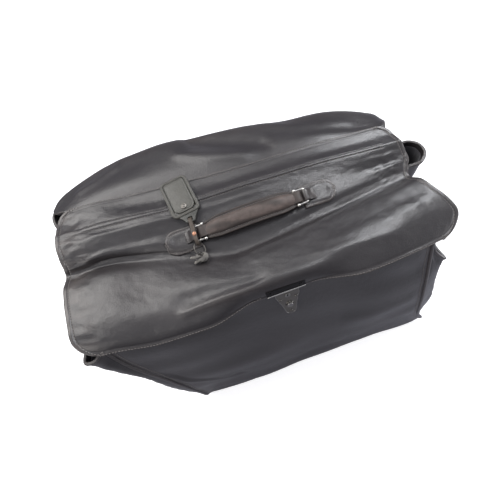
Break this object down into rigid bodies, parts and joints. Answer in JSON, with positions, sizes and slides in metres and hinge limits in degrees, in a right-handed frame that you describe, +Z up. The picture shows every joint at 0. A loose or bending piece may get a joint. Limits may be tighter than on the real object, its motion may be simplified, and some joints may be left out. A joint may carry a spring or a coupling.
{
  "type": "doctor bag",
  "caption": "Soft leather doctor bag with a stitched flap, padded strap handle, luggage tag with keys, and a push lock on the front.",
  "frame": {"origin": "centre of the base, on the ground", "axes": "+Z up, +X to the bag's right along its length as seen from the front, -Y the front with the lock"},
  "size_m": [0.473, 0.303, 0.3318],
  "materials": {
    "black_leather": "smooth aged cowhide, semi-gloss on the ridges",
    "handle_leather": "worn brown-grey, rubbed matt",
    "tag_leather": "thick vegetable-tanned leather, satin",
    "strap_leather": "thin dark strap, satin",
    "lining_cloth": "plain woven cotton",
    "stiff_board": "pressed fibre board, bare",
    "padding": "firm felt-like padding",
    "paper_card": "plain card",
    "nickel": "worn nickel plate",
    "dark_metal": "antique gunmetal",
    "spring_steel": "bare steel",
    "copper": "tarnished copper"
  },
  "bodies": {
    "bag": {"base_panel": "black_leather", "base_board": "stiff_board", "front_panel": "black_leather", "back_panel": "black_leather", "gusset_left": "black_leather", "gusset_right": "black_leather", "lining": "lining_cloth", "inner_pocket": "lining_cloth", "stiffener_front": "spring_steel", "stiffener_rear": "spring_steel", "flap_rear": "black_leather", "lock_case": "dark_metal", "lock_plate": "dark_metal", "lock_backing_plate": "spring_steel", "lock_rivets": "dark_metal", "lock_spring": "spring_steel"},
    "flap_top": {"flap_top": "black_leather", "chape_left": "black_leather", "chape_right": "black_leather", "tag_strap": "strap_leather", "strap_rivet": "copper"},
    "flap_front": {"flap_front": "black_leather", "lock_bar": "dark_metal", "bar_rivets": "dark_metal"},
    "handle": {"handle_base": "handle_leather", "handle_core": "padding", "handle_cover": "handle_leather"},
    "ring_left": {"ring_left": "nickel"},
    "ring_right": {"ring_right": "nickel"},
    "tag": {"tag_body": "tag_leather", "tag_card": "paper_card", "tag_snap_stud": "spring_steel"},
    "tag_cover": {"tag_cover": "tag_leather", "tag_snap_cap": "dark_metal"},
    "keys": {"key_ring": "nickel", "key_1": "nickel", "key_2": "nickel"},
    "lock_button": {"lock_button": "dark_metal"},
    "lock_catch": {"lock_catch": "spring_steel"},
    "lock_barrel": {"lock_barrel": "spring_steel"}
  },
  "joints": [
    {"name": "flap_lift", "type": "hinge", "parent": "bag", "child": "flap_top", "pos_m": [0, 0.04, 0.322], "axis": [-1, 0, 0], "range_deg": [0, 115]},
    {"name": "flap_front_lift", "type": "hinge", "parent": "flap_top", "child": "flap_front", "pos_m": [0, -0.048, 0.305], "axis": [-1, 0, 0], "range_deg": [0, 60]},
    {"name": "handle_pull", "type": "slide", "parent": "flap_top", "child": "handle", "axis": [0, -0.1897, 0.9818], "range_m": [0, 0.008]},
    {"name": "ring_left_tilt", "type": "hinge", "parent": "flap_top", "child": "ring_left", "pos_m": [-0.08, -0.00723, 0.3195], "axis": [0, -0.9818, -0.1897], "range_deg": [0, 42]},
    {"name": "ring_right_tilt", "type": "hinge", "parent": "flap_top", "child": "ring_right", "pos_m": [0.063, -0.00723, 0.3195], "axis": [0, 0.9818, 0.1897], "range_deg": [0, 42]},
    {"name": "tag_swing", "type": "hinge", "parent": "flap_top", "child": "tag", "pos_m": [-0.0791, 0.00672, 0.32372], "axis": [-1, 0, 0], "range_deg": [-92.5, 0]},
    {"name": "tag_cover_open", "type": "hinge", "parent": "tag", "child": "tag_cover", "pos_m": [-0.08744, 0.07179, 0.32979], "axis": [-0.9903, -0.139, -0.0059], "range_deg": [0, 150]},
    {"name": "keys_swing", "type": "hinge", "parent": "flap_top", "child": "keys", "pos_m": [-0.0791, -0.01537, 0.31945], "axis": [-1, 0, 0], "range_deg": [0, 40]},
    {"name": "button_press", "type": "slide", "parent": "bag", "child": "lock_button", "axis": [0, 0.9613, -0.2756], "range_m": [0, 0.002]},
    {"name": "catch_slide", "type": "slide", "parent": "bag", "child": "lock_catch", "axis": [0, -0.2756, -0.9613], "range_m": [0, 0.0012]},
    {"name": "key_turn", "type": "hinge", "parent": "bag", "child": "lock_barrel", "pos_m": [0, -0.1064, 0.29283], "axis": [0, -0.9613, 0.2756], "range_deg": [0, 90]}
  ],
  "couplings": [
    {"joint": "ring_left_tilt", "follows": "handle_pull", "rad_per_m": 91.216},
    {"joint": "ring_right_tilt", "follows": "handle_pull", "rad_per_m": 91.216},
    {"joint": "tag_swing", "follows": "flap_lift", "ratio": -0.8},
    {"joint": "catch_slide", "follows": "button_press", "ratio": 0.6}
  ]
}
